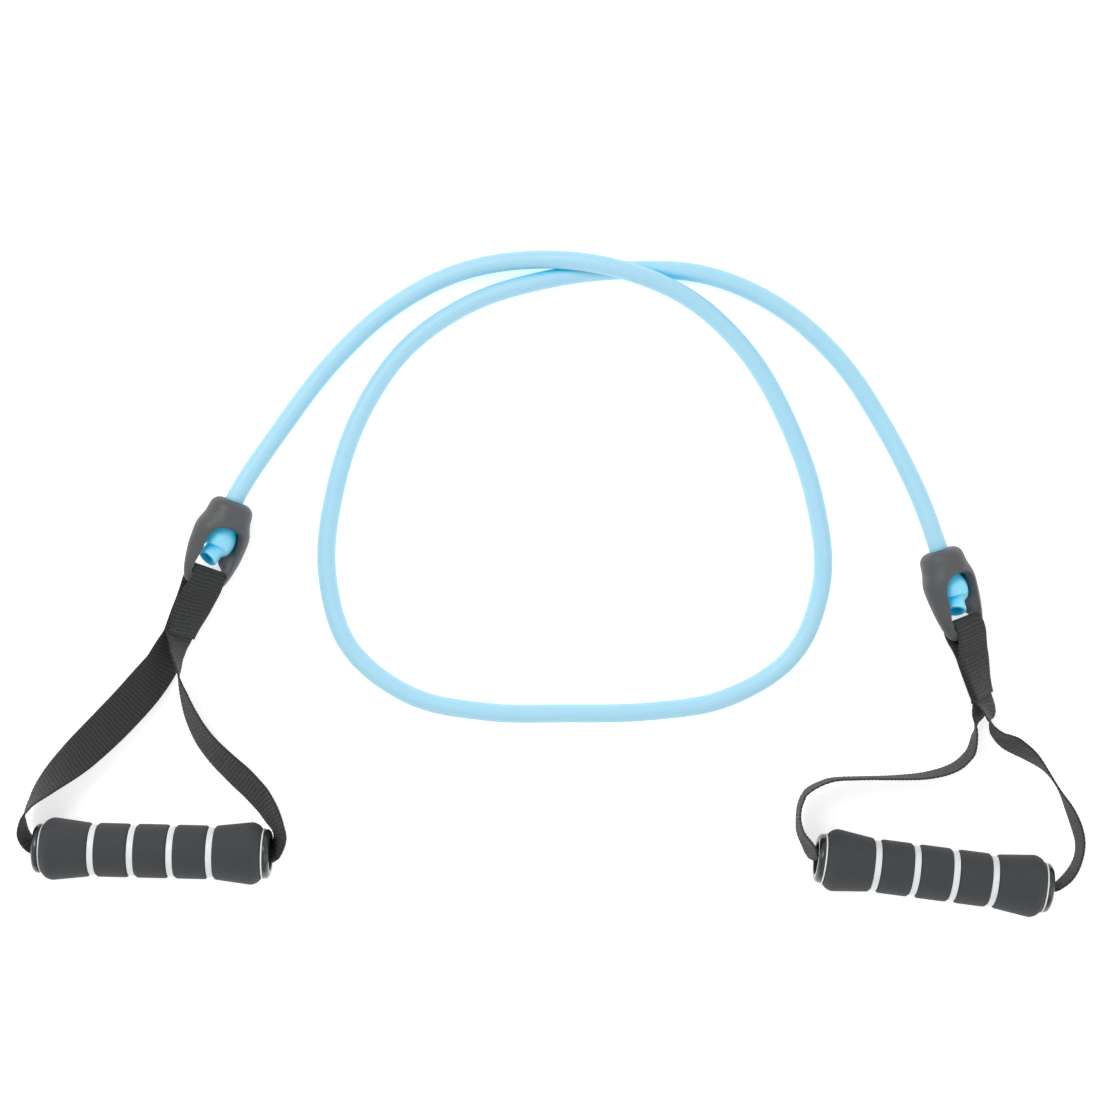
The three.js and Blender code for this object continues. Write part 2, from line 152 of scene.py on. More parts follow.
# where the straps show more of their face: middle and half length of the stretch, mm along
# the strap from its front cut end, and how far it rolls over, degrees
STRAP_ROLLS = {
    "left": [(222, 20, 9), (345, 20, 26)],
    "right": [(135, 45, -6), (246, 22, -15), (410, 18, 6), (435, 17, -9), (466, 24, 16)],
}

SEWN_LENGTH = {"left": 17.0, "right": 21.0}
STITCH_PITCH = 2.6
STITCH_RADIUS = 0.27

GRIP_COLUMNS = 96
GRIP_ENDS = ("a", "b")
SUNKEN_RING = ("left", "end_ring", "a")      # the one ring that doesn't show beside its cap
SUNKEN_BY = 1.2


# ---- small helpers ------------------------------------------------------------------

def joint(name):
    return next(j for j in frame["joints"] if j["name"] == name)


def make_mesh(name, vertices, faces, uvs=None):
    """A smooth-shaded object; vertices in metres in the row frame, uvs one per vertex."""
    mesh = bpy.data.meshes.new(name)
    mesh.from_pydata([tuple(v) for v in vertices], [], faces)
    mesh.shade_smooth()
    if uvs is not None:
        layer = mesh.uv_layers.new(name="surface")
        for loop in mesh.loops:
            layer.data[loop.index].uv = uvs[loop.vertex_index]
    obj = bpy.data.objects.new(name, mesh)
    bpy.context.scene.collection.objects.link(obj)
    return obj


def grid_faces(rows, columns, closed_rows=False):
    """Quads over a rows x columns grid of vertices whose columns join up in a ring."""
    faces = []
    for i in range(rows if closed_rows else rows - 1):
        below = i * columns
        above = ((i + 1) % rows) * columns
        for k in range(columns):
            after = (k + 1) % columns
            faces.append((below + k, below + after, above + after, above + k))
    return faces


def capped_faces(rows, columns):
    """Quads over a stack of rings, with one face to close each end."""
    last = (rows - 1) * columns
    first_end = tuple(range(columns))[::-1]
    last_end = tuple(last + k for k in range(columns))
    return grid_faces(rows, columns) + [first_end, last_end]


def face_outwards(obj):
    mesh = bmesh.new()
    mesh.from_mesh(obj.data)
    bmesh.ops.recalc_face_normals(mesh, faces=mesh.faces)
    mesh.to_mesh(obj.data)
    mesh.free()
    return obj


def catmull_rom(values, per_span):
    """Points of a smooth curve through `values`, `per_span` to each gap."""
    values = np.asarray(values, float)
    padded = np.vstack([2 * values[0] - values[1], values, 2 * values[-1] - values[-2]])
    t = np.arange(per_span)[:, None] / per_span
    spans = []
    for a, b, c, d in zip(padded, padded[1:], padded[2:], padded[3:]):
        bend = (2 * a - 5 * b + 4 * c - d) * t ** 2 + (3 * b - a - 3 * c + d) * t ** 3
        spans.append(0.5 * (2 * b + (c - a) * t + bend))
    return np.vstack(spans + [values[-1:]])


def run_lengths(points):
    gaps = np.linalg.norm(np.diff(points, axis=0), axis=1)
    return np.concatenate([[0.0], np.cumsum(gaps)])


def at_distances(table, known, wanted):
    """Rows of `table`, known at distances `known`, read off at distances `wanted`."""
    return np.stack([np.interp(wanted, known, column) for column in table.T], axis=1)


def units(vectors):
    return vectors / np.linalg.norm(vectors, axis=1, keepdims=True)


def turned(vectors, axes, angles):
    """Each vector turned about its unit axis by its angle, told in degrees."""
    turn = np.radians(angles)[:, None]
    kept = (vectors * axes).sum(1, keepdims=True) * axes
    return kept + (vectors - kept) * np.cos(turn) + np.cross(axes, vectors) * np.sin(turn)


def smooth_step(values, start, end):
    share = np.clip((values - start) / (end - start), 0, 1)
    return share * share * (3 - 2 * share)


def across_path(vectors, forward):
    """`vectors` with what lies along the path taken out, at unit length."""
    return units(vectors - (vectors * forward).sum(1, keepdims=True) * forward)


# ---- reading the frame --------------------------------------------------------------

def welded(node):
    mesh = bmesh.new()
    mesh.from_mesh(frame["nodes"][node].data)
    bmesh.ops.remove_doubles(mesh, verts=mesh.verts, dist=1e-6)
    return mesh


def nearest(vertices, point, count):
    return sorted(vertices, key=lambda v: (v.co - Vector(point)).length)[:count]


def walk(section, passed):
    """The sections of a swept solid that follow `section`, found along its edges."""
    sections = []
    while section:
        beyond = {edge.other_vert(v) for v in section for edge in v.link_edges}
        section = beyond - passed
        passed |= section
        sections.append(section)
    return sections[:-1]


class EndFrame:
    """Where one end of the band lies: x along the strap bar, y out of the eye, z to the mouth."""

    def __init__(self, side):
        swivel = joint(f"{side}_socket_swivel")
        swing = joint(f"{side}_strap_swing")
        self.side = side
        self.mouth = np.array(swivel["pos_m"])
        self.bar = np.array(swing["pos_m"])
        reach = self.mouth - self.bar
        self.bar_depth = np.linalg.norm(reach) / MM
        self.z = reach / np.linalg.norm(reach)
        self.x = -np.array(swing["axis"])
        self.y = np.cross(self.z, self.x)

    def place(self, points):
        """Points told in millimetres from the mouth, in the row frame."""
        points = np.asarray(points, float) * MM
        return self.mouth + points @ np.stack([self.x, self.y, self.z])


ENDS = {side: EndFrame(side) for side in SIDES}


def tube_middle():
    """The centres of the CAD tube's outer rings, from the left cut end to the right one."""
    mesh = welded("resistance_tube")
    ring_size = 10
    cut_end_depth = 32
    cut_end = ENDS["left"].place([0, 0, -cut_end_depth])
    both_rings = nearest(mesh.verts, cut_end, 2 * ring_size)
    outer_ring = set(both_rings[ring_size:])
    rings = [outer_ring] + walk(outer_ring, set(both_rings))
    centres = []
    for ring in rings:
        corners = np.array([v.co for v in ring])
        centre = corners.mean(0)
        radius = np.linalg.norm(corners - centre, axis=1).mean() / MM
        if radius < (TUBE_RADIUS + BORE_RADIUS) / 2:
            break
        centres.append(centre)
    mesh.free()
    return np.array(centres)


def webbing_stations(side):
    """Middle, left-to-right direction and width of the CAD webbing at each of its sections."""
    mesh = welded(f"{side}_handle_strap")
    roll = joint(f"{side}_grip_roll")
    start = set(nearest(mesh.verts, roll["pos_m"], 4))
    ahead = {edge.other_vert(v) for v in start for edge in v.link_edges} - start
    axis = Vector(roll["axis"])
    beyond = {v for v in ahead if (v.co - Vector(roll["pos_m"])).dot(axis) > 0}
    behind = ahead - beyond
    passed = start | beyond | behind
    onward = [beyond] + walk(beyond, set(passed))
    backward = [behind] + walk(behind, set(passed))
    stations = []
    # a point well to the left of the strap, which tells the first section's left edge
    last_left = ENDS[side].place([-100, 0, 0])
    for section in backward[::-1] + [start] + onward:
        corners = list(section)
        first = corners[0]
        partner = nearest([v for v in corners if v is not first], first.co, 1)[0]
        others = [v for v in corners if v not in (first, partner)]
        one = np.array((first.co + partner.co) / 2)
        two = np.array((others[0].co + others[1].co) / 2)
        one, two = sorted((one, two), key=lambda edge: np.linalg.norm(edge - last_left))
        last_left = one
        width = np.linalg.norm(two - one)
        stations.append(np.concatenate([(one + two) / 2, (two - one) / width, [width / MM]]))
    mesh.free()
    return np.array(stations)


class GripFrame:
    """A grip's own axis and the sizes of its CAD pieces along and about it."""

    def __init__(self, side):
        roll = joint(f"{side}_grip_roll")
        self.side = side
        self.middle = np.array(roll["pos_m"])
        self.axis = np.array(roll["axis"])
        self.up = np.array([0.0, 0.0, 1.0])
        self.cross = np.cross(self.axis, self.up)

    def sizes(self, node):
        """Start and end along the axis, bore radius and outer radius, mm."""
        corners = np.array([v.co for v in frame["nodes"][node].data.vertices]) - self.middle
        along = corners @ self.axis
        radii = np.linalg.norm(corners - along[:, None] * self.axis, axis=1)
        return along.min() / MM, along.max() / MM, radii.min() / MM, radii.max() / MM

    def lathe(self, name, profile):
        """A ring-shaped piece from (distance along the axis, radius) pairs."""
        angles = np.linspace(0, 2 * math.pi, GRIP_COLUMNS, endpoint=False)
        spokes = np.cos(angles)[:, None] * self.up + np.sin(angles)[:, None] * self.cross
        rows = [self.middle + MM * (along * self.axis + radius * spokes) for along, radius in profile]
        faces = grid_faces(len(rows), GRIP_COLUMNS, closed_rows=True)
        return face_outwards(make_mesh(name, np.vstack(rows), faces))


# ---- materials ----------------------------------------------------------------------

class Look:
    """A node material being put together on a Principled shader."""

    def __init__(self, name, **settings):
        self.material = bpy.data.materials.new(name)
        self.material.use_nodes = True
        self.tree = self.material.node_tree
        self.shader = self.tree.nodes["Principled BSDF"]
        self.coords = self.node("TexCoord", output="Object")
        for key, value in settings.items():
            self.feed(self.shader.inputs[key.replace("_", " ")], value)

    def feed(self, socket, value):
        if isinstance(value, bpy.types.NodeSocket):
            self.tree.links.new(value, socket)
        else:
            socket.default_value = value

    def node(self, kind, inputs=(), output=0, **properties):
        made = self.tree.nodes.new("ShaderNode" + kind)
        for key, value in properties.items():
            setattr(made, key, value)
        pairs = inputs.items() if isinstance(inputs, dict) else enumerate(inputs)
        for key, value in pairs:
            self.feed(made.inputs[key], value)
        return made.outputs[output]

    def math(self, operation, *inputs):
        return self.node("Math", inputs, operation=operation)

    def noise(self, scale, detail=2.0, vector=None):
        inputs = {"Vector": vector or self.coords, "Scale": scale, "Detail": detail}
        return self.node("TexNoise", inputs)

    def spread(self, value, low, high, to_low, to_high):
        """`value` carried from the span low..high to to_low..to_high, held at both ends."""
        return self.node("MapRange", [value, low, high, to_low, to_high])

    def mix(self, share, one, two):
        inputs = {0: share, 6: one, 7: two}
        return self.node("Mix", inputs, output=2, data_type="RGBA")

    def colour(self, value):
        self.feed(self.shader.inputs["Base Color"], value)

    def rough(self, value):
        self.feed(self.shader.inputs["Roughness"], value)

    def bump(self, height, distance, strength=1.0, under=None):
        inputs = {"Height": height, "Distance": distance * MM, "Strength": strength}
        if under is not None:
            inputs["Normal"] = under
        normal = self.node("Bump", inputs)
        self.feed(self.shader.inputs["Normal"], normal)
        return normal


def rgb(red, green, blue):
    """A colour given as it looks on screen, 0 to 255, made linear."""
    def linear(c):
        c /= 255
        return c / 12.92 if c <= 0.04045 else ((c + 0.055) / 1.055) ** 2.4
    return (linear(red), linear(green), linear(blue), 1.0)


def tube_look():
    """Latex: pale where it is open, painted shade of deep cyan in its gaps and its bore, a painted
    cyan glow, faintly clouded.
    """
    look = Look("latex_tube", IOR=1.45, Subsurface_Scale=1.5 * MM)
    look.feed(look.shader.inputs["Subsurface Weight"], 0.12)
    look.feed(look.shader.inputs["Subsurface Radius"], (0.6, 1.0, 1.2))
    shade = look.node("AmbientOcclusion", {"Distance": 9 * MM}, output="AO", samples=8)
    open_share = look.spread(shade, 0.25, 0.85, 0.0, 1.0)
    lining = look.node("SeparateXYZ", [look.node("TexCoord", output="UV")])
    swelling = lining.node.outputs[1]
    # painted shade: lit and shaded copies of the latex colour, deep cyan where ambient occlusion
    # finds the tube hemmed in
    plain_colour = look.mix(open_share, rgb(0, 182, 214), rgb(170, 222, 244))
    swollen_colour = look.mix(open_share, rgb(0, 172, 232), rgb(142, 221, 247))
    colour = look.mix(swelling, plain_colour, swollen_colour)
    cloud = look.spread(look.noise(45), 0.3, 0.7, 0.0, 0.25)
    colour = look.mix(cloud, colour, rgb(182, 226, 245))
    bloom = look.spread(look.noise(900, 3.0), 0.56, 0.72, 0.0, 0.25)
    colour = look.mix(bloom, colour, rgb(200, 234, 247))
    # painted shade: the lining of the bore is coloured a deeper cyan
    look.colour(look.mix(lining, colour, rgb(0, 150, 208)))
    # painted glow: a cyan emission that lifts the shaded parts and the swollen ends, weaker inside
    # the bore
    look.feed(look.shader.inputs["Emission Color"], rgb(0, 176, 206))
    shaded = look.math("MULTIPLY", look.math("SUBTRACT", 1.0, open_share), 0.2)
    lit = look.math("ADD", shaded, look.math("MULTIPLY", swelling, 0.12))
    outside = look.math("SUBTRACT", 1.0, look.math("MULTIPLY", lining, 0.6))
    look.feed(look.shader.inputs["Emission Strength"], look.math("MULTIPLY", lit, outside))
    look.rough(look.spread(look.noise(260), 0.3, 0.7, 0.36, 0.50))
    look.bump(look.noise(1500, 3.0), 0.05)
    return look.material


def socket_look():
    """Moulded nylon: fine spark-eroded grain, with a painted highlight along its edges."""
    look = Look("moulded_socket")
    cloud = look.spread(look.noise(70), 0.3, 0.7, 0.0, 1.0)
    colour = look.mix(cloud, rgb(76, 77, 78), rgb(85, 86, 87))
    pointiness = look.node("NewGeometry", output="Pointiness")
    # painted highlight: the sharper edges made lighter grey in patches
    edge_highlight = look.math("MULTIPLY", look.spread(pointiness, 0.52, 0.62, 0.0, 0.6), look.noise(500))
    look.colour(look.mix(edge_highlight, colour, rgb(116, 117, 118)))
    look.rough(look.spread(look.noise(350), 0.3, 0.7, 0.42, 0.56))
    look.bump(look.noise(3200, 2.0), 0.045)
    return look.material


def webbing_look():
    """Woven polypropylene: cross ribs with short floats of yarn, told in mm along the strap."""
    look = Look("woven_webbing", IOR=1.4, Sheen_Weight=0.1, Sheen_Roughness=0.5)
    place = look.node("TexCoord", output="UV")
    across = look.node("SeparateXYZ", [place])
    along = across.node.outputs[1]
    column = look.math("FLOOR", look.math("DIVIDE", across, YARN_PITCH))
    stagger = look.math("MULTIPLY", look.math("MODULO", column, 2.0), RIB_PITCH * 0.22)
    shifted = look.math("ADD", along, stagger)
    rib_turn = look.math("MULTIPLY", shifted, math.pi / RIB_PITCH)
    rib = look.math("ABSOLUTE", look.math("COSINE", rib_turn))
    yarn_turn = look.math("MULTIPLY", across, math.pi / YARN_PITCH)
    yarn = look.math("ABSOLUTE", look.math("SINE", yarn_turn))
    crown = look.math("MULTIPLY", look.math("POWER", rib, 0.7), look.math("POWER", yarn, 0.35))
    drawn_out = look.node("VectorMath", [place, (1.0, 0.35, 1.0)], operation="MULTIPLY")
    fuzz = look.noise(2.2, 4.0, drawn_out)
    # painted shade: the grooves between the ribs and yarns are near black, the crowns lighter
    colour = look.mix(crown, rgb(9, 9, 9), rgb(60, 62, 61))
    lighter = look.spread(fuzz, 0.45, 0.75, 0.0, 0.45)
    look.colour(look.mix(lighter, colour, rgb(76, 78, 77)))
    look.rough(look.spread(fuzz, 0.3, 0.7, 0.62, 0.85))
    coarse = look.bump(crown, 0.3)
    look.bump(fuzz, 0.05, under=coarse)
    return look.material


def thread_look():
    look = Look("sewing_thread", Sheen_Weight=0.2)
    twist = look.noise(2600, 1.0)
    look.colour(look.mix(twist, rgb(26, 27, 27), rgb(62, 63, 63)))
    look.rough(look.spread(twist, 0.3, 0.7, 0.5, 0.7))
    look.bump(twist, 0.08)
    return look.material


def foam_look():
    """Closed-cell foam: a dull skin of fine cells with a few open pores."""
    look = Look("foam_sleeve", Sheen_Weight=0.06, Sheen_Roughness=0.6)
    grain = look.noise(2100, 3.0)
    patch = look.spread(look.noise(120), 0.3, 0.7, 0.0, 1.0)
    colour = look.mix(patch, rgb(51, 53, 56), rgb(58, 60, 63))
    look.colour(look.mix(look.spread(grain, 0.35, 0.7, 0.0, 0.6), colour, rgb(71, 74, 77)))
    cells = look.node("TexVoronoi", {"Vector": look.coords, "Scale": 1400.0}, output="Distance")
    look.rough(look.spread(patch, 0.0, 1.0, 0.82, 0.92))
    fine = look.bump(grain, 0.09)
    look.bump(cells, 0.07, 0.7, under=fine)
    return look.material


def pale_plastic_look(name, light, shade):
    look = Look(name)
    cloud = look.spread(look.noise(160), 0.3, 0.7, 0.0, 1.0)
    look.colour(look.mix(cloud, shade, light))
    look.rough(look.spread(look.noise(700), 0.3, 0.7, 0.34, 0.48))
    look.bump(look.noise(2400, 2.0), 0.02)
    return look.material


def cap_look():
    """Glossy black plastic with faint smears, lighter patches of painted reflection and hairline
    scratches.
    """
    look = Look("gloss_cap", Coat_Weight=0.5, Coat_Roughness=0.08)
    smear_and_reflection = look.noise(220, 3.0)
    # painted reflection: lighter grey patches stand in for reflections; the same noise varies the
    # gloss as smears
    look.colour(look.mix(look.spread(smear_and_reflection, 0.4, 0.8, 0.0, 0.5), rgb(40, 43, 44), rgb(68, 72, 73)))
    look.rough(look.spread(smear_and_reflection, 0.3, 0.7, 0.16, 0.32))
    look.bump(look.noise(1800, 2.0), 0.012)
    return look.material


def floor_look():
    look = Look("studio_floor", Specular_IOR_Level=0.1)
    cloud = look.spread(look.noise(3.0), 0.3, 0.7, 0.0, 1.0)
    look.colour(look.mix(cloud, (0.86, 0.86, 0.86, 1.0), (0.88, 0.88, 0.88, 1.0)))
    look.rough(0.9)
    look.feed(look.shader.inputs["Emission Color"], (1.0, 1.0, 1.0, 1.0))
    look.feed(look.shader.inputs["Emission Strength"], 0.55)
    return look.material


LOOKS = {
    "tube": tube_look(),
    "socket": socket_look(),
    "webbing": webbing_look(),
    "thread": thread_look(),
    "foam": foam_look(),
    "core": pale_plastic_look("satin_ring", rgb(240, 243, 244), rgb(230, 234, 236)),
    "plug": pale_plastic_look("pale_plug", rgb(236, 238, 239), rgb(224, 227, 229)),
    "cap": cap_look(),
}


def finish_piece(obj, look, node=None, body=None):
    """Gives a piece its look, the CAD node it stands for and the body it rides on."""
    obj.data.materials.clear()
    obj.data.materials.append(LOOKS[look])
    if node is not None:
        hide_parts(node)
    if body is not None:
        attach(obj, body)


# ---- solids about an end of the band ------------------------------------------------

def oval_rings(profile, columns):
    """Ovals about an end's z axis from rows of height, half width and half depth."""
    angles = np.linspace(0, 2 * math.pi, columns, endpoint=False)
    return [
        np.stack([w * np.cos(angles), d * np.sin(angles), np.full(columns, height)], axis=1)
        for height, w, d in profile
    ]


def closed_stack(name, end, rings):
    """A solid through rings of points told in the end's frame, closed at both ends."""
    faces = capped_faces(len(rings), len(rings[0]))
    return face_outwards(make_mesh(name, end.place(np.vstack(rings)), faces))


# ---- the elastic tube ---------------------------------------------------------------

def end_profile(distances):
    """Outer and bore radius at each distance from a cut end."""
    rows = catmull_rom(TUBE_END, 8)
    order = np.argsort(rows[:, 0], kind="stable")
    rows = rows[order]
    return [np.interp(distances, rows[:, 0], rows[:, k]) for k in (1, 2)]


def lean_tail(course, end):
    """`course`, which begins at a cut end, with its first stretch turned aside."""
    lengths = run_lengths(course) / MM
    neck = at_distances(course, lengths, np.array([TAIL_LENGTH]))[0]
    lean = TAIL_LEAN[0] * end.x + TAIL_LEAN[1] * end.y - end.z
    lean /= np.linalg.norm(lean)
    steps = np.linspace(0, TAIL_REACH, 40)
    share = smooth_step(steps, 0, TAIL_TURN)[:, None]
    headings = units((1 - share) * -end.z + share * lean)
    middles = (headings[1:] + headings[:-1]) / 2
    tail = neck + np.vstack([np.zeros(3), np.cumsum(middles, axis=0)]) * MM * steps[1]
    return np.vstack([tail[:0:-1], neck, course[lengths > TAIL_LENGTH + 0.2]])


def make_tube():
    course = catmull_rom(tube_middle(), 12)
    course = lean_tail(course, ENDS["left"])
    course = lean_tail(course[::-1], ENDS["right"])[::-1]
    lengths = run_lengths(course) / MM
    total = lengths[-1]
    swollen = TUBE_END[-1][0]
    near_end = [0.0, 0.15, 0.35, 0.7] + list(np.arange(1.2, swollen, 0.6))
    plain = np.linspace(swollen, total - swollen, int((total - 2 * swollen) / TUBE_STEP))
    distances = np.concatenate([near_end, plain, total - np.array(near_end[::-1])])
    points = at_distances(course, lengths, distances)
    forward = units(np.gradient(points, distances, axis=0))
    up = np.array([0.0, 0.0, 1.0])
    side = across_path(np.tile(up, (len(forward), 1)), forward)
    across = np.cross(forward, side)
    from_end = np.minimum(distances, total - distances)
    outer, bore = end_profile(from_end)
    angles = np.linspace(0, 2 * math.pi, TUBE_SIDES, endpoint=False)
    cosines = np.cos(angles)[None, :, None]
    sines = np.sin(angles)[None, :, None]
    spokes = cosines * side[:, None] + sines * across[:, None]
    skin = points[:, None] + MM * outer[:, None, None] * spokes
    lining = (points[:, None] + MM * bore[:, None, None] * spokes)[::-1]
    vertices = np.concatenate([skin, lining]).reshape(-1, 3)
    faces = grid_faces(2 * len(points), TUBE_SIDES, closed_rows=True)
    swelling = np.repeat(1 - smooth_step(from_end, swollen - 4, swollen + 3), TUBE_SIDES)
    # for the material: u is 1 on the lining of the bore, v is 1 on the swollen ends
    marks = [(0, share) for share in swelling] + [(1, share) for share in swelling[::-1]]
    tube = face_outwards(make_mesh("elastic_tube", vertices, faces, marks))
    finish_piece(tube, "tube", "resistance_tube")
    return tube


def stretch_tube(tube):
    """Bakes the tube's placement into its mesh."""
    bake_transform(tube)


def make_plug(end, body):
    """A mushroom-shaped plug inside the swollen end."""
    profile = catmull_rom([
        (0.05, -21.0), (1.9, -21.0), (3.6, -20.0), (4.9, -18.2), (5.2, -16.0),
        (4.4, -13.0), (2.1, -10.6), (0.05, -10.5),
    ], 5)
    rings = oval_rings([(height, r, r) for r, height in profile], 48)
    plug = closed_stack(f"{end.side}_tube_plug", end, rings)
    finish_piece(plug, "plug", f"{end.side}_end_plug", body)


# ---- the moulded socket -------------------------------------------------------------

def socket_shell(end):
    return closed_stack("shell", end, oval_rings(catmull_rom(SOCKET_OUTLINE, 5), 96))


def bezier(a, b, c, d, count=10):
    t = np.arange(count)[:, None] / count
    a, b, c, d = map(np.array, (a, b, c, d))
    return a * (1 - t) ** 3 + 3 * b * t * (1 - t) ** 2 + 3 * c * t ** 2 * (1 - t) + d * t ** 3


def eye_cutter(end):
    """The opening that the swollen end of the tube shows in, flared at both faces."""
    half = np.vstack([
        bezier((0, -11.6), (6.0, -11.6), (8.6, -15.4), (8.6, -20.5)),
        bezier((8.6, -20.5), (8.6, -25), (8.9, -28), (9.4, -32)),
        bezier((9.4, -32), (9.6, -34.2), (8.8, -35.5), (7.2, -35.5)),
        [(7.2, -35.5)],
    ])
    outline = np.vstack([half, half[:0:-1] * (-1, 1)])
    waist = (0.0, -23.0)
    rings = []
    for level, wide, tall in EYE_FLARE[:0:-1] + [(-d, w, t) for d, w, t in EYE_FLARE]:
        ring = (outline - waist) * (wide, tall) + waist
        # the slant fades out towards the strap bar, where the webbing passes
        ring[:, 0] -= EYE_SLANT * min(level, 0) * smooth_step(ring[:, 1], -35, -30)
        rings.append(np.insert(ring, 1, level, axis=1))
    return closed_stack("eye", end, rings)


def bore_cutter(end):
    """The hole for the tube, widening into the cavity for its swollen end."""
    profile = [
        (-30.0, SOCKET_CAVITY_RADIUS), (-12.5, SOCKET_CAVITY_RADIUS), (-5.5, SOCKET_HOLE_RADIUS),
        (2.4, SOCKET_HOLE_RADIUS), (3.4, SOCKET_HOLE_RADIUS + 0.5), (6.0, SOCKET_HOLE_RADIUS + 0.5),
    ]
    return closed_stack("bore", end, oval_rings([(height, r, r) for height, r in profile], 64))


def bar_cutter(end):
    """A thick-walled sleeve that leaves the strap bar round."""
    angles = np.linspace(0, 2 * math.pi, 64, endpoint=False)
    corners = [
        (-BAR_HALF_LENGTH, BAR_RADIUS), (-BAR_HALF_LENGTH, BAR_RADIUS + 4),
        (BAR_HALF_LENGTH, BAR_RADIUS + 4), (BAR_HALF_LENGTH, BAR_RADIUS),
    ]
    rings = [
        np.stack([np.full(64, x), r * np.cos(angles), r * np.sin(angles) - end.bar_depth], axis=1)
        for x, r in corners
    ]
    faces = grid_faces(4, 64, closed_rows=True)
    return face_outwards(make_mesh("bar", end.place(np.vstack(rings)), faces))


def make_socket(end, body):
    shell = socket_shell(end)
    cutters = [eye_cutter(end), bore_cutter(end), bar_cutter(end)]
    for cutter in cutters:
        cut = shell.modifiers.new(cutter.name, "BOOLEAN")
        cut.operation = "DIFFERENCE"
        cut.solver = "MANIFOLD"
        cut.object = cutter
    remesh = shell.modifiers.new("remesh", "REMESH")
    remesh.mode = "VOXEL"
    remesh.voxel_size = SOCKET_VOXEL * MM
    rounding = shell.modifiers.new("rounding", "SMOOTH")
    rounding.factor = 0.5
    rounding.iterations = 9
    graph = bpy.context.evaluated_depsgraph_get()
    mesh = bpy.data.meshes.new_from_object(shell.evaluated_get(graph))
    mesh.shade_smooth()
    for spare in [shell, *cutters]:
        bpy.data.objects.remove(spare)
    moulded = bpy.data.objects.new(f"{end.side}_eye_socket", mesh)
    bpy.context.scene.collection.objects.link(moulded)
    finish_piece(moulded, "socket", f"{end.side}_socket", body)


# ---- the webbing --------------------------------------------------------------------

class Webbing:
    """The path of one strap: points, directions and widths at even steps along it."""

    def __init__(self, side):
        self.side = side
        stations = webbing_stations(side)
        dense = catmull_rom(stations, 14)
        lengths = run_lengths(dense[:, :3]) / MM
        step = RIB_PITCH / RIB_ROWS
        count = int(lengths[-1] / step)
        self.along = np.linspace(0, lengths[-1], count)
        rows = at_distances(dense, lengths, self.along)
        self.width = rows[:, 6]
        window = np.hanning(17)
        window /= window.sum()
        padded = np.pad(rows[:, 3:6], ((8, 8), (0, 0)), mode="edge")
        across = np.stack([np.convolve(c, window, mode="valid") for c in padded.T], axis=1)
        self.points, across = self.twist(rows[:, :3], across)
        self.forward = units(np.gradient(self.points, axis=0))
        across = across_path(across, self.forward)
        for middle, half, degrees in STRAP_ROLLS[side]:
            nearness = np.clip(1 - abs(self.along - middle) / half, 0, 1)
            roll = degrees * np.sin(nearness * math.pi / 2) ** 2
            across = turned(across, self.forward, roll)
        self.across = across
        self.out = np.cross(self.forward, self.across)

    def twist(self, points, across):
        """Both layers of the sewn part turned together, more and more up to the cut end."""
        end = ENDS[self.side]
        edge = end.bar + SEWN_EDGE * MM * end.x
        below = (end.bar - points) @ end.z / MM
        cut = below[0]
        angles = SEWN_TWIST * smooth_step(below, 6, cut) * (1 - smooth_step(below, cut, cut + 20))
        axes = np.tile(end.z, (len(points), 1))
        return edge + turned(points - edge, axes, angles), turned(across, axes, angles)


def webbing_section(rib):
    """Share of the half width, and height as a share of the half thickness, round the strap."""
    flat = np.linspace(-0.96, 0.96, 13)
    crown = 1.0 - rib * RIB_HEIGHT / (WEBBING_THICKNESS / 2)
    edge = 0.55 * crown
    top = [(a, crown * (1 - 0.10 * abs(a) ** 8)) for a in flat]
    right = [(0.988, edge), (1.0, 0.0), (0.988, -edge)]
    bottom = [(a, -h) for a, h in top[::-1]]
    left = [(-0.988, -edge), (-1.0, 0.0), (-0.988, edge)]
    return np.array(top + right + bottom + left)


def make_webbing(webbing, body):
    vertices = []
    uvs = []
    for i, point in enumerate(webbing.points):
        phase = abs(math.cos(math.pi * webbing.along[i] / RIB_PITCH))
        groove = 1.0 - phase ** 0.7
        section = webbing_section(groove)
        half_width = webbing.width[i] / 2
        sideways = section[:, :1] * half_width * MM * webbing.across[i]
        outward = section[:, 1:] * WEBBING_THICKNESS / 2 * MM * webbing.out[i]
        vertices.append(point + sideways + outward)
        uvs += [(a * half_width, webbing.along[i]) for a in section[:, 0]]
    faces = capped_faces(len(vertices), len(vertices[0]))
    strap = make_mesh(f"{webbing.side}_webbing", np.vstack(vertices), faces, uvs)
    finish_piece(face_outwards(strap), "webbing", f"{webbing.side}_handle_strap", body)


def stitch_rows(sewn_length, half_width):
    """A box with a cross in it, as lines from (along, across) to (along, across), mm."""
    near, far = 1.8, sewn_length
    edge = half_width - 2.2
    corners = [(near, -edge), (near, edge), (far, edge), (far, -edge)]
    sides = list(zip(corners, corners[1:] + corners[:1]))
    return sides + [(corners[0], corners[2]), (corners[1], corners[3])]


def stitches(side):
    """The middle and direction of each stitch, as (along, across) on the strap, mm."""
    places = []
    for start, end in stitch_rows(SEWN_LENGTH[side], WEBBING_WIDTH / 2):
        start, end = np.array(start), np.array(end)
        run = np.linalg.norm(end - start)
        for k in range(int(run / STITCH_PITCH)):
            middle = start + (end - start) * (k + 0.5) * STITCH_PITCH / run
            places.append((middle, (end - start) / run))
    return places


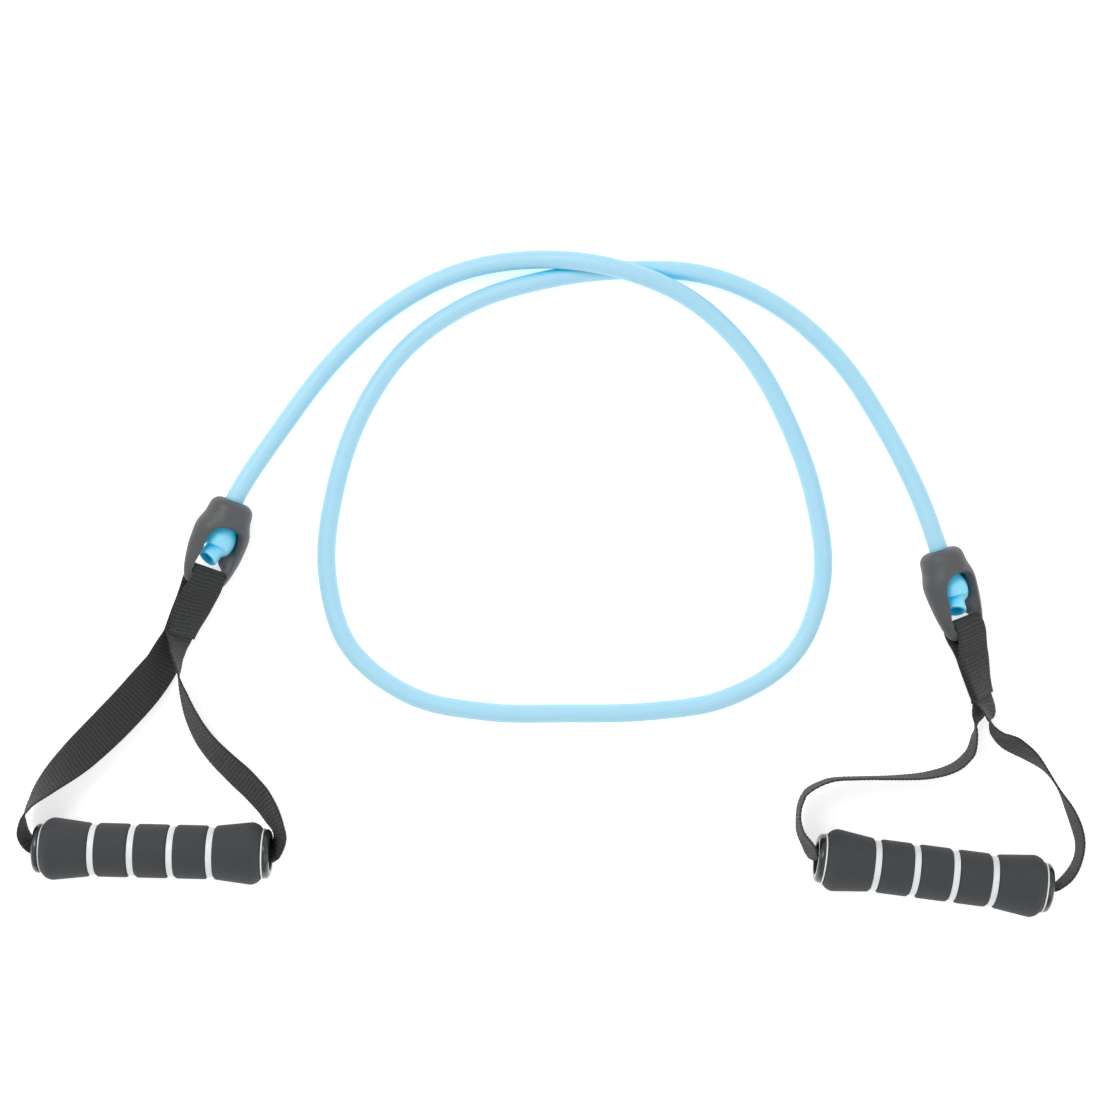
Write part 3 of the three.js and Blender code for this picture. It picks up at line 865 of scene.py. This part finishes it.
def make_stitching(webbing, body):
    """Lockstitches on the front of the sewn part, each a short bead of thread."""
    random.seed(7)
    vertices = []
    faces = []
    rings, columns = 7, 8
    for (along, across), (dir_along, dir_across) in stitches(webbing.side):
        i = int(np.searchsorted(webbing.along, along))
        direction = dir_along * webbing.forward[i] + dir_across * webbing.across[i]
        wide = np.cross(webbing.out[i], direction)
        height = WEBBING_THICKNESS / 2 - 0.1
        centre = webbing.points[i] + MM * (across * webbing.across[i] + height * webbing.out[i])
        lean = random.uniform(-0.08, 0.08)
        first = len(vertices)
        for share in np.linspace(-1, 1, rings):
            swell = math.sqrt(max(1 - share ** 4, 0.02))
            middle = centre + MM * STITCH_PITCH * 0.42 * share * (direction + lean * wide)
            for k in range(columns):
                turn = 2 * math.pi * k / columns
                ring = math.cos(turn) * wide + math.sin(turn) * webbing.out[i]
                vertices.append(middle + MM * STITCH_RADIUS * swell * ring)
        faces += [tuple(first + v for v in face) for face in capped_faces(rings, columns)]
    thread = face_outwards(make_mesh(f"{webbing.side}_stitching", vertices, faces))
    finish_piece(thread, "thread", body=body)


# ---- the grip -----------------------------------------------------------------------

def fillet(corner, before, after, radius, count=6):
    """Points that round off a corner of a profile."""
    corner, before, after = map(np.array, (corner, before, after))
    start = corner + (before - corner) / np.linalg.norm(before - corner) * radius
    end = corner + (after - corner) / np.linalg.norm(after - corner) * radius
    t = np.linspace(0, 1, count)[:, None]
    return list((1 - t) ** 2 * start + 2 * t * (1 - t) * corner + t ** 2 * end)


def rounded(corners, radii):
    """A closed profile with each corner rounded by its own radius."""
    points = []
    for i, (corner, radius) in enumerate(zip(corners, radii)):
        before = corners[i - 1]
        after = corners[(i + 1) % len(corners)]
        points += fillet(corner, before, after, radius)
    return points


def plain_sleeve(start, end, bore, outer):
    corners = [(start, bore), (start, outer), (end, outer), (end, bore)]
    return rounded(corners, [0.3, 1.5, 1.5, 0.3])


def flared_sleeve(start, end, bore, outer, narrow):
    """Grows from `narrow` to `outer` away from the grip's middle, then rounds right over."""
    way = 1 if abs(end) > abs(start) else -1
    inner, tip = (start, end) if way == 1 else (end, start)
    length = abs(end - start)

    def at(distance):
        return inner + way * distance

    taper = [(at(d), narrow + (outer - narrow) * d / (length - 6)) for d in (1.5, 5, 9, 13)]
    flare = catmull_rom(taper + [
        (at(length - 6.6), outer - 0.06), (at(length - 4.9), outer - 0.02),
        (at(length - 3.2), outer - 0.5), (at(length - 1.8), outer - 1.3),
        (at(length - 0.7), outer - 2.4), (tip, outer - 3.4),
    ], 5)
    shoulder = fillet((inner, narrow), (inner, bore), tuple(flare[0]), 1.1)
    return [(inner, bore), *shoulder, *flare, (tip, bore + 0.3), (at(length - 0.3), bore)]


def ring_profile(start, end, bore, outer):
    corners = [(start, bore), (start, outer), (end, outer), (end, bore)]
    soft = min(0.35, (end - start) / 3)
    return rounded(corners, [0.1, soft, soft, 0.1])


def cap_profile(start, end, bore, outer, spigot):
    """A domed flange with a rolled hole, on a spigot that sits in the core."""
    way = 1 if end > 0 else -1
    tip, foot = (end, start) if way == 1 else (start, end)
    seat = tip - way * 3.0
    corners = [
        (foot, bore), (foot, spigot), (seat, spigot), (seat, outer), (seat + way * 1.6, outer),
        (tip, outer - 1.5), (tip, bore),
    ]
    return rounded(corners, [0.3, 0.3, 0.2, 0.4, 0.9, 0.7, 0.75])


def make_grip(grip, body):
    side = grip.side

    def add(node, name, profile, look):
        piece = grip.lathe(f"{side}_{name}", profile)
        finish_piece(piece, look, f"{side}_{node}", body)

    core = grip.sizes(f"{side}_grip_core")
    add("grip_core", "core_tube", ring_profile(*core), "core")
    middle = grip.sizes(f"{side}_middle_foam_sleeve")
    plain_radius = middle[3]
    add("middle_foam_sleeve", "foam_middle", plain_sleeve(*middle), "foam")
    for end in GRIP_ENDS:
        inner = grip.sizes(f"{side}_inner_foam_sleeve_{end}")
        add(f"inner_foam_sleeve_{end}", f"foam_inner_{end}", plain_sleeve(*inner), "foam")
        flared = grip.sizes(f"{side}_flared_foam_sleeve_{end}")
        profile = flared_sleeve(*flared, plain_radius)
        add(f"flared_foam_sleeve_{end}", f"foam_flared_{end}", profile, "foam")
        for place in ("inner_spacer_ring", "outer_spacer_ring", "end_ring"):
            sizes = list(grip.sizes(f"{side}_{place}_{end}"))
            if (side, place, end) == SUNKEN_RING:
                sizes[3] -= SUNKEN_BY
            add(f"{place}_{end}", f"{place}_fine_{end}", ring_profile(*sizes), "core")
        cap = grip.sizes(f"{side}_end_cap_{end}")
        profile = cap_profile(*cap, spigot=core[2] - 0.25)
        add(f"end_cap_{end}", f"gloss_cap_{end}", profile, "cap")


# ---- the band -----------------------------------------------------------------------

tube = make_tube()
for side, holder in (("left", "band"), ("right", "right_band_end")):
    make_plug(ENDS[side], holder)
    make_socket(ENDS[side], f"{side}_connector")
    strap = Webbing(side)
    make_webbing(strap, f"{side}_webbing")
    make_stitching(strap, f"{side}_webbing")
    make_grip(GripFrame(side), f"{side}_grip")
stretch_tube(tube)


# ---- the studio ---------------------------------------------------------------------

CAMERA_HEIGHT = 1.196
CAMERA_ALONG = 0.0168
VIEW_WIDTH = 0.572       # width of floor in view
SENSOR_WIDTH = 36.0


def make_floor():
    half = 6.0
    corners = [(-half, -half, 0), (half, -half, 0), (half, half, 0), (-half, half, 0)]
    floor = make_mesh("floor", corners, [(0, 1, 2, 3)])
    floor.location.z = cad_low.z - 0.1 * MM
    floor.data.materials.append(floor_look())


def make_lamp(name, place, size, power):
    lamp = bpy.data.lights.new(name, "AREA")
    lamp.shape = "DISK"
    lamp.size = size
    lamp.energy = power
    obj = bpy.data.objects.new(name, lamp)
    obj.location = place
    obj.rotation_euler = (-Vector(place)).to_track_quat("-Z", "Y").to_euler()
    obj.visible_camera = False
    bpy.context.scene.collection.objects.link(obj)


def make_sky(strength):
    world = bpy.data.worlds.new("studio")
    world.use_nodes = True
    background = world.node_tree.nodes["Background"]
    background.inputs["Color"].default_value = (1.0, 1.0, 1.0, 1.0)
    background.inputs["Strength"].default_value = strength
    bpy.context.scene.world = world


def make_camera():
    camera = bpy.data.cameras.new("camera")
    camera.sensor_width = SENSOR_WIDTH
    camera.lens = SENSOR_WIDTH * CAMERA_HEIGHT / VIEW_WIDTH
    obj = bpy.data.objects.new("camera", camera)
    obj.location = (0, CAMERA_ALONG, CAMERA_HEIGHT)
    bpy.context.scene.collection.objects.link(obj)
    bpy.context.scene.camera = obj


make_floor()
make_sky(strength=0.63)
make_lamp("key", (-0.9, 1.0, 1.9), size=1.1, power=19)
make_lamp("fill", (1.3, -0.6, 1.7), size=1.6, power=6.5)
make_camera()
bpy.context.scene.view_settings.view_transform = "Standard"
